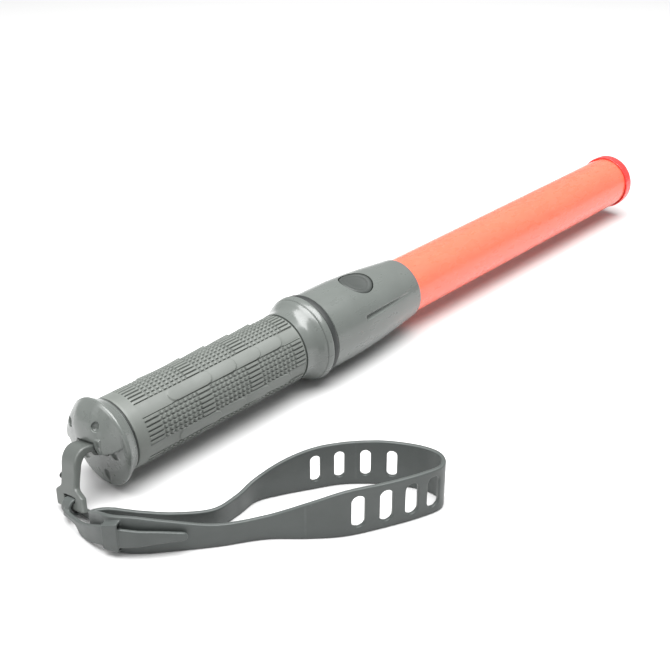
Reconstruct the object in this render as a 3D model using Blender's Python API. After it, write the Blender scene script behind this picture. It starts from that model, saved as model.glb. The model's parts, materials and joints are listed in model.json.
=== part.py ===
"""Traffic baton light: a two-cell handle, a switch head, a translucent tube and a moulded wrist strap.

The baton lies on the floor (z = 0) with its axis along +X, from the screw-on tail cap to the
tip, and the wrist strap stands on edge on its -Y side. Everything is modelled in the baton's own
frame, whose origin is where the axis meets the tail cap's rim, and hangs under the empty "baton".
"""

from math import cos, pi, radians, sin

import bmesh
import bpy
from mathutils import Matrix, Vector

MM = 0.001
GAP = 0.35 * MM  # clearance between pieces that touch on the real object

# --- overall ------------------------------------------------------------------------------
BODY_LENGTH = 540 * MM
COLLAR_R = 28.6 * MM  # widest ring: the baton rests on it
AXIS_HEIGHT = COLLAR_R
STRAP_REACH_BACK = 37.9 * MM  # how far the wrist strap reaches behind the tail cap's rim
STRAP_REACH_SIDE = 155.0 * MM  # and to the side of the baton's axis
ORIGIN_X = (STRAP_REACH_BACK - BODY_LENGTH) / 2  # puts the bounding box's centre over the origin
ORIGIN_Y = (STRAP_REACH_SIDE - COLLAR_R) / 2
SEGMENTS = 40  # round outer pieces
FINE = 24  # small round pieces

# --- batteries and barrel -----------------------------------------------------------------
CELL_R = 17.1 * MM  # two D cells
CELL_LENGTH = 61.5 * MM
CELL_NUB = (4.75 * MM, 1.5 * MM)  # radius, height
BORE_R = 17.9 * MM
CELLS_START = 23.0 * MM
CELLS_END = CELLS_START + 2 * CELL_LENGTH + 0.3 * MM
BARREL_START = 10.6 * MM
BARREL_R = 20.4 * MM
END_WALL = (CELLS_END + 2.0 * MM, CELLS_END + 5.2 * MM)
GRIP_END = 144.0 * MM
GRIP_R = 22.9 * MM
COLLAR_FRONT = 163.0 * MM
NECK_R = 23.3 * MM
NECK_END = 184.0 * MM

# --- head ---------------------------------------------------------------------------------
HEAD_START = 168.6 * MM
HEAD_END = 258.0 * MM
HEAD_ROLL = radians(10)  # the button leans this far from straight up towards -Y
BUTTON_X = 209.0 * MM
BUTTON_R = 11.4 * MM
BUTTON_TRAVEL = 1.5 * MM
FLUTE_ANGLE = radians(58)  # each side of the button
FLUTE_R = 3.8 * MM
FLUTE_START, FLUTE_DEPTH_R = 197.0 * MM, 25.15 * MM  # blind end, radius of the flute's floor
BOARD_HEIGHT = 11.0 * MM  # circuit board's underside above the axis
BOARD_T = 1.6 * MM
BOARD_SCREWS_X = (190.6 * MM, 225.6 * MM)
BOARD_ENDS_X = (186.5 * MM, 229.6 * MM)

# --- light --------------------------------------------------------------------------------
TUBE_R, TUBE_WALL = 20.0 * MM, 1.6 * MM
TUBE_START, TUBE_END = 241.0 * MM, 536.0 * MM
TIP_R, TIP_START = 21.5 * MM, 530.0 * MM
LED_BOARD_X = 234.6 * MM
LED_CIRCLE_R, LED_R = 5.5 * MM, 2.5 * MM

# --- tail cap and link --------------------------------------------------------------------
CAP_ROLL = radians(-12)  # how far round the cap's ridge stands when it is tight
DISC_R = 26.8 * MM
SKIRT_R, SKIRT_END = 23.1 * MM, 9.1 * MM
SPIGOT_R, SPIGOT_END = 18.0 * MM, 18.5 * MM
DIMPLE_CIRCLE_R = 19.0 * MM
DIMPLES = (-137, -71, -9, 112, 165)  # degrees from the top towards -Y
PIN_X, PIN_Z, PIN_R = -5.2 * MM, 0.5 * MM, 1.5 * MM
LINK_T, LINK_BREADTH, BUCKLE_BREADTH = 4.0 * MM, 14.0 * MM, 25.0 * MM
BUCKLE_START = Vector((-26.9, -7.9, -17.4)) * MM  # on the link's centreline, where the buckle opens
BAR = Vector((-29.0, -11.3, -21.5)) * MM  # centre of the buckle's lower bar, which the strap wraps
LINK_STUD = Vector((-23.3, -4.1, -9.8)) * MM

# --- wrist strap --------------------------------------------------------------------------
STRAP_T = 2.6 * MM
SLOT_SIZES = ((7.7 * MM, 20.4 * MM), (6.6 * MM, 17.4 * MM))  # length and height, front and rear band
EYE_R, EYE_HOLE_R, EYE_BREADTH = 4.9 * MM, 3.1 * MM, 8.0 * MM
# Plan of the strap's loop in the baton's frame: out along the front band, round the far bend
# and back along the rear band. The third number is the band's height there. All in mm.
STRAP_LOOP = [
    (-30.5, -31, 15), (-32.5, -41, 20.5), (-31.5, -51, 23), (-24.5, -61.5, 23.3), (-12, -72.5, 19.6),
    (8, -88, 14.2), (29, -102, 15), (45, -118.5, 23), (60, -131.5, 29), (82, -143, 29),
    (101, -151, 29), (113.5, -153.5, 29), (120.5, -146, 29), (118.5, -133, 29), (108, -115, 29),
    (93, -99, 28), (77, -89, 27), (62, -80.5, 22), (48, -74.5, 15), (33, -76, 13),
    (16, -75.5, 13), (0, -63, 13), (-12, -48, 13), (-22, -35, 14),
]
LOOP_STEPS = 4
SLOT_SPANS = (8.28, 8.91, 9.59, 10.38, 13.73, 14.41, 15.1, 15.85)  # places along STRAP_LOOP, in points
# The tongue leaves the eye, passes under the keeper and lies along the front band. Its arrowhead
# is wider than the neck behind it. Each station is (x, y, height, mid-height above the floor) in mm.
TONGUE = [
    (-34.4, -11.5, 4.0, 6.5), (-35.2, -18, 3.8, 6.5), (-35.6, -23.5, 4.5, 6.8), (-36.0, -28.5, 9, 4.9),
    (-36.6, -38, 11.4, 7.3), (-35.7, -47.5, 12.6, 10.6), (-32.3, -56.0, 9, 11.9), (-31.7, -57.6, 11.8, 12.1),
    (-25.4, -64.6, 10, 12.0), (-17.6, -71.9, 7.5, 11.8), (-8.3, -79.5, 5, 11.2),
]
ROOT_ARM = [(-25.7, -9.5, 4.6, 3.0), (-25.0, -18, 5.3, 3.3), (-25.9, -26.5, 8, 4.6), (-28.7, -32.5, 12, 6.6)]
KEEPER_AT = Vector((-31.0, -51.7, 0)) * MM  # on the front band's centreline
KEEPER_ALONG = Vector((0.38, -0.92, 0)).normalized()
KEEPER_LENGTH, KEEPER_WALL = 9.2 * MM, 1.3 * MM

GREY = (0.27, 0.29, 0.27)
COLOURS = {  # colour, roughness, metallic
    "grey plastic": (GREY, 0.40, 0.0),
    "grey grip": ((0.33, 0.35, 0.33), 0.65, 0.0),
    "dark rubber": ((0.10, 0.11, 0.10), 0.70, 0.0),
    "strap rubber": ((0.12, 0.13, 0.12), 0.60, 0.0),
    "orange plastic": ((1.0, 0.28, 0.10), 0.30, 0.0),
    "red plastic": ((0.85, 0.06, 0.04), 0.30, 0.0),
    "chrome": ((0.80, 0.80, 0.80), 0.10, 1.0),
    "steel": ((0.60, 0.60, 0.60), 0.30, 1.0),
    "brass": ((0.75, 0.55, 0.22), 0.30, 1.0),
    "circuit board": ((0.03, 0.20, 0.08), 0.50, 0.0),
    "black plastic": ((0.03, 0.03, 0.03), 0.45, 0.0),
    "clear lens": ((0.90, 0.30, 0.25), 0.10, 0.0),
    "cell jacket": ((0.05, 0.06, 0.12), 0.40, 0.0),
    "wire red": ((0.60, 0.03, 0.03), 0.50, 0.0),
    "wire black": ((0.03, 0.03, 0.03), 0.50, 0.0),
}


# --- helpers ------------------------------------------------------------------------------
def clear_scene():
    for obj in list(bpy.data.objects):
        bpy.data.objects.remove(obj, do_unlink=True)


def material(name):
    found = bpy.data.materials.get(name)
    if found:
        return found
    colour, roughness, metallic = COLOURS[name]
    made = bpy.data.materials.new(name)
    made.use_nodes = True
    shader = made.node_tree.nodes["Principled BSDF"]
    shader.inputs["Base Color"].default_value = (*colour, 1.0)
    shader.inputs["Roughness"].default_value = roughness
    shader.inputs["Metallic"].default_value = metallic
    return made


def finish(bm, name, finish_name=None, parent=None, roll=0.0):
    """The bmesh as an object in the baton's frame, turned by roll about the baton's axis."""
    if roll:
        bm.transform(Matrix.Rotation(roll, 4, "X"))
    bm.normal_update()
    bmesh.ops.recalc_face_normals(bm, faces=bm.faces)
    mesh = bpy.data.meshes.new(name)
    bm.to_mesh(mesh)
    bm.free()
    mesh.shade_smooth()
    mesh.set_sharp_from_angle(angle=radians(35))
    obj = bpy.data.objects.new(name, mesh)
    bpy.context.scene.collection.objects.link(obj)
    if finish_name:
        mesh.materials.append(material(finish_name))
    place(obj, parent or bpy.data.objects["baton"])
    return obj


def place(obj, parent):
    """Parents an object whose mesh is in the baton's frame, so that it stays where it is."""
    obj.parent = parent
    obj.location = -(parent.matrix_world.translation - bpy.data.objects["baton"].location)


def empty(name, at=(0, 0, 0), parent=None):
    """A joint's empty. Its origin lies on the joint's axis."""
    made = bpy.data.objects.new(name, None)
    made.empty_display_size = 0.01
    bpy.context.scene.collection.objects.link(made)
    if parent:
        place(made, parent)
    made.location += Vector(at)
    bpy.context.view_layer.update()
    return made


def helper(obj):
    obj.hide_render = True
    obj.display_type = "WIRE"
    return obj


def boolean(obj, other, operation="DIFFERENCE"):
    """Cuts with, joins to, or keeps what is common with another object, which becomes a helper."""
    modifier = obj.modifiers.new(other.name, "BOOLEAN")
    modifier.operation = operation
    modifier.solver = "EXACT"
    modifier.object = helper(other)
    return obj


def revolve(profile, segments=SEGMENTS):
    """A closed outline of (x, radius) points, spun about the baton's axis."""
    bm = bmesh.new()
    corners = [bm.verts.new((x, 0, r)) for x, r in profile]
    pairs = zip(corners, corners[1:] + corners[:1])
    edges = [bm.edges.new((a, b)) for a, b in pairs if max(a.co.z, b.co.z) > 1e-7]
    bmesh.ops.spin(bm, geom=corners + edges, axis=(1, 0, 0), cent=(0, 0, 0),
                   angle=2 * pi, steps=segments, use_merge=True)
    bmesh.ops.remove_doubles(bm, verts=bm.verts, dist=1e-6)
    return bm


def cylinder(start, end, radius, segments=FINE):
    bm = bmesh.new()
    start, end = Vector(start), Vector(end)
    along = end - start
    turn = along.to_track_quat("Z", "Y").to_matrix().to_4x4()
    bmesh.ops.create_cone(bm, cap_ends=True, segments=segments, radius1=radius, radius2=radius,
                          depth=along.length, matrix=Matrix.Translation((start + end) / 2) @ turn)
    return bm


def box(low, high, bevel=0.0):
    bm = bmesh.new()
    low, high = Vector(low), Vector(high)
    size = high - low
    bmesh.ops.create_cube(bm, size=1, matrix=Matrix.Translation((low + high) / 2)
                          @ Matrix.Diagonal((*size, 1)))
    if bevel:
        bmesh.ops.bevel(bm, geom=bm.edges, offset=bevel, segments=2, profile=0.5, affect="EDGES")
    return bm


def smooth_curve(points, steps, cyclic=False):
    """Points along a Catmull-Rom curve through the given ones."""
    points = [Vector(p) for p in points]
    count = len(points)
    spans = count if cyclic else count - 1

    def at(i):
        return points[i % count] if cyclic else points[min(max(i, 0), count - 1)]

    made = []
    for i in range(spans):
        a, b, c, d = at(i - 1), at(i), at(i + 1), at(i + 2)
        for k in range(steps):
            t = k / steps
            made.append(0.5 * (2 * b + (c - a) * t + (2 * a - 5 * b + 4 * c - d) * t ** 2
                               + (3 * b - 3 * c + d - a) * t ** 3))
    return made if cyclic else made + [points[-1]]


def ribbon(centres, widths, width_dirs, thickness, cyclic=False):
    """A flat strap swept along centres. Its width lies along width_dirs, its thickness across."""
    bm = bmesh.new()
    rings = []
    count = len(centres)
    for i, centre in enumerate(centres):
        before = centres[i - 1] if cyclic or i else centre
        after = centres[(i + 1) % count] if cyclic or i < count - 1 else centre
        wide = width_dirs[i].normalized()
        across = (after - before).cross(wide).normalized()
        half_w, half_t = wide * widths[i] / 2, across * thickness / 2
        rings.append([bm.verts.new(centre + a * half_w + b * half_t)
                      for a, b in ((1, 1), (1, -1), (-1, -1), (-1, 1))])
    for i in range(count if cyclic else count - 1):
        ring, following = rings[i], rings[(i + 1) % count]
        for k in range(4):
            bm.faces.new((ring[k], ring[(k + 1) % 4], following[(k + 1) % 4], following[k]))
    if not cyclic:
        bm.faces.new(rings[0])
        bm.faces.new(rings[-1])
    return bm


# --- handle: the fixed pieces -------------------------------------------------------------
def handle_barrel():
    """Battery barrel, the bulb collar in front of the grip, and the neck that the head screws on."""
    wall_back, wall_front = END_WALL
    outline = [
        (BARREL_START, 18.6 * MM), (BARREL_START, BARREL_R), (GRIP_END + 0.4 * MM, BARREL_R),
        (GRIP_END + 0.4 * MM, 22.9 * MM), (149 * MM, 23.2 * MM), (151.5 * MM, 23.9 * MM),
        (154 * MM, 25.2 * MM), (156 * MM, 26.5 * MM), (158 * MM, 27.5 * MM), (160 * MM, 28.2 * MM),
        (161.6 * MM, COLLAR_R), (COLLAR_FRONT, 28.3 * MM), (COLLAR_FRONT, NECK_R),
        (NECK_END - 1 * MM, NECK_R), (NECK_END, 22.5 * MM), (NECK_END, 20.8 * MM),
        (wall_front, 20.8 * MM), (wall_front, 1.9 * MM), (wall_back, 1.9 * MM),
        (wall_back, BORE_R), (19.5 * MM, BORE_R), (19.0 * MM, 18.6 * MM),
    ]
    barrel = finish(revolve(outline), "handle_barrel", "grey plastic")
    slot = box((wall_back - 2 * MM, -17.85 * MM, -2.6 * MM), (wall_front + 2 * MM, -17.0 * MM, 2.6 * MM))
    return boolean(barrel, finish(slot, "strip_slot_cutter"))


def grip_sleeve():
    """Textured sleeve over the barrel: fine lengthwise ribs between two plain bands."""
    ribs = 52
    inner = BARREL_R + GAP
    stations = [(BARREL_START, 0.35), (12 * MM, 0.0), (18 * MM, 0.0), (19.5 * MM, 0.6),
                (139 * MM, 0.6), (140.5 * MM, 0.0), (GRIP_END - 1 * MM, 0.0), (GRIP_END, 0.4)]
    bm = bmesh.new()
    rings = []
    for x, groove in stations:
        ring = []
        for i in range(2 * ribs):
            r = GRIP_R - (groove * MM if i % 2 and 0.5 < groove else 0.0)
            r -= groove * MM if groove and groove < 0.5 else 0.0
            angle = pi * i / ribs
            ring.append(bm.verts.new((x, r * sin(angle), r * cos(angle))))
        rings.append(ring)
    for x in (GRIP_END, BARREL_START):
        rings.append([bm.verts.new((x, inner * sin(pi * i / ribs), inner * cos(pi * i / ribs)))
                      for i in range(2 * ribs)])
    for ring, following in zip(rings, rings[1:] + rings[:1]):
        for i in range(2 * ribs):
            j = (i + 1) % (2 * ribs)
            bm.faces.new((ring[i], ring[j], following[j], following[i]))
    return finish(bm, "grip_sleeve", "grey grip")


def head_o_ring():
    back, front = COLLAR_FRONT + 0.4 * MM, HEAD_START - 0.4 * MM
    outline = [(back, NECK_R + GAP), (back, 27.6 * MM), (back + 0.5 * MM, 28.0 * MM),
               (front - 0.8 * MM, 28.0 * MM), (front, 27.3 * MM), (front, NECK_R + GAP)]
    return finish(revolve(outline), "head_o_ring", "dark rubber")


def head_outline(grow=0.0):
    """Outer profile of the head, from its tail edge to its nose."""
    points = ((0, 26.1), (0.7, 26.7), (14, 26.8), (26, 26.8), (33, 26.6), (41, 26.2), (49, 25.7),
              (57, 25.0), (65, 24.2), (73, 23.3), (81, 22.4), (87.6, 21.8), (89.4, 21.4))
    return [(HEAD_START + x * MM, r * MM + grow) for x, r in points]


def head_shell():
    """Switch housing: two flutes outside, the button's hole, and two posts for the circuit board."""
    bore = TUBE_R + GAP
    outline = head_outline() + [
        (HEAD_END, bore), (TUBE_START + 2.9 * MM, bore), (TUBE_START + 2.9 * MM, 21.7 * MM),
        (232 * MM, 22.0 * MM), (214 * MM, 24.2 * MM), (187 * MM, 24.4 * MM),
        (185 * MM, NECK_R + 0.4 * MM), (HEAD_START, NECK_R + 0.4 * MM),
    ]
    head = finish(revolve(outline), "head_shell", "grey plastic")
    for side, label in ((1, "near"), (-1, "far")):
        roll = HEAD_ROLL + side * FLUTE_ANGLE
        height = FLUTE_DEPTH_R + FLUTE_R
        cutter = cylinder((FLUTE_START, 0, height), (HEAD_END + 5 * MM, 0, height), FLUTE_R)
        boolean(head, finish(cutter, f"flute_cutter_{label}", roll=roll))
    hole = cylinder((BUTTON_X, 0, 18 * MM), (BUTTON_X, 0, 32 * MM), BUTTON_R + GAP, SEGMENTS)
    boolean(head, finish(hole, "button_hole_cutter", roll=HEAD_ROLL))
    for x, label in zip(BOARD_SCREWS_X, ("rear", "front")):
        foot = BOARD_HEIGHT + BOARD_T + GAP
        post = cylinder((x, 0, foot), (x, 0, 23.9 * MM if label == "front" else 25.4 * MM), 2.6 * MM)
        boolean(head, finish(post, f"board_post_{label}", roll=HEAD_ROLL), "UNION")
        pilot = cylinder((x, 0, foot - 1 * MM), (x, 0, foot + 6 * MM), 1.3 * MM, 16)
        boolean(head, finish(pilot, f"pilot_cutter_{label}", roll=HEAD_ROLL))
    return head


def tube_ring():
    """Ring that clamps the tube's flange against the head's shoulder."""
    back, front = LED_BOARD_X + 1.95 * MM, TUBE_START - GAP
    outline = [(back, 19.2 * MM), (back, 21.3 * MM), (front, 21.3 * MM), (front, 19.2 * MM)]
    return finish(revolve(outline), "tube_ring", "grey plastic")


def light_tube():
    inner = TUBE_R - TUBE_WALL
    outline = [
        (TUBE_START, inner), (TUBE_START, 21.3 * MM), (TUBE_START + 2.5 * MM, 21.3 * MM),
        (TUBE_START + 2.5 * MM, TUBE_R), (TUBE_END, TUBE_R), (TUBE_END, inner),
    ]
    return finish(revolve(outline), "light_tube", "orange plastic")


def tip_cap():
    """Red cup over the end of the tube, with a rounded rim and a flat end."""
    skirt = TUBE_R + GAP
    outline = [
        (TUBE_END + GAP, 0), (TUBE_END + GAP, skirt), (TIP_START, skirt), (TIP_START, TIP_R - 0.2 * MM),
        (TIP_START + 0.5 * MM, TIP_R), (BODY_LENGTH - 3.0 * MM, TIP_R),
        (BODY_LENGTH - 1.4 * MM, TIP_R - 0.5 * MM), (BODY_LENGTH - 0.4 * MM, TIP_R - 1.6 * MM),
        (BODY_LENGTH, TIP_R - 3.0 * MM), (BODY_LENGTH, 0),
    ]
    return finish(revolve(outline), "tip_cap", "red plastic")


def reflector():
    """Chromed cup in the foot of the tube. The lamps stand in its open bottom."""
    front, back = TUBE_START + 13 * MM, TUBE_START - 3.2 * MM
    depth = front - back
    inside = [(back + depth * t, (9.2 + 8.0 * t ** 0.6) * MM) for t in (0, 0.12, 0.3, 0.55, 0.8, 1)]
    outside = [(x, r + 0.9 * MM) for x, r in reversed(inside)]
    return finish(revolve(inside + outside, 32), "reflector", "chrome")


def led_board():
    board = revolve([(LED_BOARD_X, 0), (LED_BOARD_X, 21.0 * MM), (LED_BOARD_X + BOARD_T, 21.0 * MM),
                     (LED_BOARD_X + BOARD_T, 0)], 32)
    return finish(board, "led_board", "circuit board")


def leds():
    """Three lamps round the axis, each a flanged can with a domed end."""
    start = LED_BOARD_X + BOARD_T + GAP
    for i in range(3):
        angle = HEAD_ROLL + 2 * pi * i / 3
        dome = [(start + 6.2 * MM + LED_R * sin(a), LED_R * cos(a)) for a in (0, pi / 6, pi / 3)]
        outline = [(start, 0), (start, LED_R + 0.4 * MM), (start + 1 * MM, LED_R + 0.4 * MM),
                   (start + 1 * MM, LED_R)] + dome + [(start + 6.2 * MM + LED_R, 0)]
        bm = revolve(outline, 16)
        bm.transform(Matrix.Translation((0, -LED_CIRCLE_R * sin(angle), LED_CIRCLE_R * cos(angle))))
        finish(bm, f"led_{i + 1}", "clear lens")


def circuit_board():
    low, high = BOARD_HEIGHT, BOARD_HEIGHT + BOARD_T
    back, front = BOARD_ENDS_X
    board = finish(box((back, -13.5 * MM, low), (front, 13.5 * MM, high)),
                   "circuit_board", "circuit board", roll=HEAD_ROLL)
    for x, label in zip(BOARD_SCREWS_X, ("rear", "front")):
        hole = cylinder((x, 0, low - 1 * MM), (x, 0, high + 1 * MM), 1.35 * MM, 16)
        boolean(board, finish(hole, f"board_hole_{label}", roll=HEAD_ROLL))
    return board


def board_screws():
    """Pan-head screws, put in from below into the head's posts."""
    for x, label in zip(BOARD_SCREWS_X, ("rear", "front")):
        top = BOARD_HEIGHT - GAP
        outline = [(top - 1.7 * MM, 0), (top - 1.7 * MM, 1.5 * MM), (top - 0.9 * MM, 2.4 * MM),
                   (top, 2.4 * MM), (top, 1.0 * MM), (top + 6.5 * MM, 1.0 * MM), (top + 6.5 * MM, 0)]
        bm = revolve(outline, 16)
        bm.transform(Matrix.Translation((x, 0, 0)) @ Matrix.Rotation(-pi / 2, 4, "Y"))
        finish(bm, f"board_screw_{label}", "steel", roll=HEAD_ROLL)


def switch_body():
    """Push switch on the board, with a well that its stem sinks into."""
    low = BOARD_HEIGHT + BOARD_T + GAP
    half = 6 * MM
    body = finish(box((BUTTON_X - half, -half, low), (BUTTON_X + half, half, 18.4 * MM), 0.4 * MM),
                  "switch_body", "black plastic", roll=HEAD_ROLL)
    well = cylinder((BUTTON_X, 0, 15.6 * MM), (BUTTON_X, 0, 20 * MM), 3.4 * MM)
    return boolean(body, finish(well, "switch_well_cutter", roll=HEAD_ROLL))


def batteries():
    nub_r, nub_h = CELL_NUB
    for i, label in enumerate(("rear", "front")):
        start = CELLS_START + i * (CELL_LENGTH + 0.3 * MM)
        end = start + CELL_LENGTH
        outline = [
            (start, 0), (start, CELL_R - 1 * MM), (start + 0.6 * MM, CELL_R),
            (end - nub_h - 0.6 * MM, CELL_R), (end - nub_h, CELL_R - 1 * MM),
            (end - nub_h, nub_r), (end, nub_r), (end, 0),
        ]
        finish(revolve(outline, 32), f"battery_{label}", "cell jacket")


def front_contact():
    """Brass rivet through the barrel's end wall: contact disc, shank and turned-over head."""
    back, front = END_WALL
    outline = [
        (back - 1.6 * MM, 0), (back - 1.6 * MM, 8 * MM), (back - GAP, 8 * MM), (back - GAP, 1.5 * MM),
        (front + GAP, 1.5 * MM), (front + GAP, 3 * MM), (front + 1.4 * MM, 2.2 * MM),
        (front + 1.4 * MM, 0),
    ]
    return finish(revolve(outline), "front_contact", "brass")


def conductor_strip():
    """Flat brass strip along the bore, from the tail contact to the head."""
    low, high = (20.5 * MM, -17.62 * MM, -2.0 * MM), (158 * MM, -17.3 * MM, 2.0 * MM)
    return finish(box(low, high), "conductor_strip", "brass")


def lead(name, points, finish_name):
    """An insulated wire along a smooth route."""
    curve = bpy.data.curves.new(name, "CURVE")
    curve.dimensions = "3D"
    curve.bevel_depth = 0.8 * MM
    curve.bevel_resolution = 2
    curve.use_fill_caps = True
    route = smooth_curve([Vector(p) * MM for p in points], 4)
    spline = curve.splines.new("POLY")
    spline.points.add(len(route) - 1)
    for point, co in zip(spline.points, route):
        point.co = (*co, 1)
    curve.materials.append(material(finish_name))
    wire = bpy.data.objects.new(name, curve)
    bpy.context.scene.collection.objects.link(wire)
    place(wire, bpy.data.objects["baton"])
    return wire


def leads():
    lead("lead_positive", [(153.9, 0, 0), (160, -2, 1), (170, -6, 4), (181, -8.5, 7.6),
                           (190, -9, 8.5), (199, -9, 8.5)], "wire red")
    lead("lead_negative", [(158.6, -16.4, 0), (166, -16, 1), (176, -14.5, 4.5), (187, -13, 7.6),
                           (197, -13, 7.7)], "wire black")
    lead("lead_led_1", [(212, 4, 10.6), (220, 5.5, 10), (227, 6, 5.5), (233.4, 6, 2)], "wire red")
    lead("lead_led_2", [(212, -8, 8.5), (220, -8, 7.6), (227, -7, 3), (233.4, -6, -1)], "wire black")


# --- button -------------------------------------------------------------------------------
def button():
    """Rubber button whose top follows the head's curve, with a shallow finger dish, and its stem."""
    guide = empty("button_guide", (BUTTON_X, -20.9 * MM * sin(HEAD_ROLL), 20.9 * MM * cos(HEAD_ROLL)),
                  bpy.data.objects["baton"])
    low = 20.9 * MM
    cap = finish(cylinder((BUTTON_X, 0, low), (BUTTON_X, 0, 30 * MM), BUTTON_R, SEGMENTS),
                 "button_cap", "dark rubber", guide, HEAD_ROLL)
    crown = head_outline(grow=-0.15 * MM)
    crown = revolve(crown + [(HEAD_END, 0), (HEAD_START, 0)], 64)
    boolean(cap, finish(crown, "button_crown"), "INTERSECT")
    dish = bmesh.new()
    bmesh.ops.create_uvsphere(dish, u_segments=24, v_segments=12, radius=22 * MM,
                              matrix=Matrix.Translation((BUTTON_X, 0, 47.4 * MM)))
    boolean(cap, finish(dish, "button_dish_cutter", roll=HEAD_ROLL))
    stem = cylinder((BUTTON_X, 0, 17.5 * MM), (BUTTON_X, 0, low - GAP), 3.0 * MM)
    finish(stem, "switch_stem", "black plastic", guide, HEAD_ROLL)


# --- tail cap -----------------------------------------------------------------------------
def cap_seal(parent):
    outline = [(SKIRT_END + 0.35 * MM, SPIGOT_R + 0.5 * MM), (SKIRT_END + 0.35 * MM, 22.3 * MM),
               (BARREL_START - 0.35 * MM, 22.3 * MM), (BARREL_START - 0.35 * MM, SPIGOT_R + 0.5 * MM)]
    return finish(revolve(outline), "cap_seal", "dark rubber", parent)


def tail_cap(parent):
    """Screw cap: a disc with finger dimples, a ridge with two cheeks for the link's pin, a spigot."""
    outline = [
        (-0.9 * MM, 0), (-0.7 * MM, 9 * MM), (-0.1 * MM, 19 * MM), (0.3 * MM, DISC_R - 0.8 * MM),
        (1.1 * MM, DISC_R), (2.6 * MM, DISC_R), (3.6 * MM, DISC_R - 0.9 * MM), (4.4 * MM, 24 * MM),
        (5.2 * MM, SKIRT_R), (SKIRT_END, SKIRT_R), (SKIRT_END, SPIGOT_R), (SPIGOT_END, SPIGOT_R),
        (SPIGOT_END, 15.2 * MM), (6.4 * MM, 15.2 * MM), (6.4 * MM, 0),
    ]
    cap = finish(revolve(outline), "tail_cap", "grey plastic", parent)
    for i, place_round in enumerate(DIMPLES):
        angle = radians(place_round)
        centre = (-2.6 * MM, -DIMPLE_CIRCLE_R * sin(angle), DIMPLE_CIRCLE_R * cos(angle))
        dimple = bmesh.new()
        bmesh.ops.create_uvsphere(dimple, u_segments=16, v_segments=8, radius=4.2 * MM,
                                  matrix=Matrix.Translation(centre))
        boolean(cap, finish(dimple, f"dimple_cutter_{i + 1}"))
    ridge = box((-7.0 * MM, -21 * MM, 6.4 * MM), (1 * MM, 21 * MM, 10.4 * MM), 1.2 * MM)
    boolean(cap, finish(ridge, "ridge", roll=CAP_ROLL), "UNION")
    for side, label in ((1, "left"), (-1, "right")):
        low, high = sorted((side * 7.0 * MM, side * 11.6 * MM))
        cheek = box((-7.6 * MM, low, -3.5 * MM), (1 * MM, high, 8 * MM), 0.6 * MM)
        boolean(cap, finish(cheek, f"cheek_{label}", roll=CAP_ROLL), "UNION")
    recess = box((-9 * MM, -8.2 * MM, -9 * MM), (2.2 * MM, 8.2 * MM, 6.2 * MM))
    boolean(cap, finish(recess, "recess_cutter", roll=CAP_ROLL))
    hole = cylinder((PIN_X, -13 * MM, PIN_Z), (PIN_X, 13 * MM, PIN_Z), PIN_R + GAP, 20)
    boolean(cap, finish(hole, "pin_hole_cutter", roll=CAP_ROLL))
    return cap


def strap_pin(parent):
    pin = cylinder((PIN_X, -11.4 * MM, PIN_Z), (PIN_X, 11.4 * MM, PIN_Z), PIN_R, 20)
    return finish(pin, "strap_pin", "steel", parent, CAP_ROLL)


def tail_contact(parent):
    """Brass plate in the spigot, with a turned-up rim that meets the conductor strip's end."""
    outline = [(6.75 * MM, 0), (6.75 * MM, 14.8 * MM), (17.5 * MM, 14.8 * MM), (17.5 * MM, 14.3 * MM),
               (7.35 * MM, 14.3 * MM), (7.35 * MM, 0)]
    return finish(revolve(outline, 32), "tail_contact", "brass", parent)


def tail_spring(parent):
    """Conical coil spring that pushes the cells forward."""
    turns, per_turn, wire = 4.5, 14, 0.6 * MM
    start, end = 7.7 * MM + wire, CELLS_START - 0.3 * MM - wire
    curve = bpy.data.curves.new("tail_spring", "CURVE")
    curve.dimensions = "3D"
    curve.bevel_depth = wire
    curve.bevel_resolution = 1
    curve.use_fill_caps = True
    spline = curve.splines.new("POLY")
    count = int(turns * per_turn) + 1
    spline.points.add(count - 1)
    for i, point in enumerate(spline.points):
        t = i / (count - 1)
        angle = 2 * pi * turns * t
        radius = (12.0 - 5.5 * t) * MM
        rise = t * t * (3 - 2 * t)
        point.co = (start + (end - start) * rise, radius * sin(angle), radius * cos(angle), 1)
    curve.materials.append(material("steel"))
    spring = bpy.data.objects.new("tail_spring", curve)
    bpy.context.scene.collection.objects.link(spring)
    place(spring, parent)
    return spring


# --- link between the cap and the wrist strap ---------------------------------------------
def strap_link(parent):
    """Rubber link: an eye round the pin, a strap that arches out and down, and an open buckle."""
    turn = Matrix.Rotation(CAP_ROLL, 3, "X")
    pin = turn @ Vector((PIN_X, 0, PIN_Z))
    route = [pin, Vector((-10.5, 0.2, 2.6)) * MM, Vector((-15.3, 0.1, 2.2)) * MM,
             Vector((-19.2, -0.9, -1.2)) * MM, Vector((-22.0, -3.0, -7.0)) * MM,
             Vector((-24.8, -5.3, -13.0)) * MM, BUCKLE_START, BAR,
             BAR + (BAR - BUCKLE_START) * 0.28]
    centres = smooth_curve(route, 5)
    count = len(centres)
    widths = []
    for i in range(count):
        flare = min(max((i / (count - 1) - 0.65) / 0.09, 0), 1)
        widths.append(LINK_BREADTH + (BUCKLE_BREADTH - LINK_BREADTH) * flare)
    breadth = turn @ Vector((0, 1, 0))
    link = finish(ribbon(centres, widths, [breadth] * count, LINK_T), "strap_link",
                  "strap rubber", parent)
    half = breadth * LINK_BREADTH / 2
    eye = finish(cylinder(pin - half, pin + half, 4.7 * MM, 28), "link_eye")
    boolean(link, eye, "UNION")
    boolean(link, finish(cylinder(pin - 2 * half, pin + 2 * half, PIN_R + 0.4 * MM, 20), "link_bore"))
    boolean(link, finish(buckle_window(breadth), "buckle_window_cutter"))
    bore = cylinder(LINK_STUD - breadth * 6.1 * MM, LINK_STUD + 2 * half, 1.45 * MM, 16)
    boolean(link, finish(bore, "stud_bore"))
    return link


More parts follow.
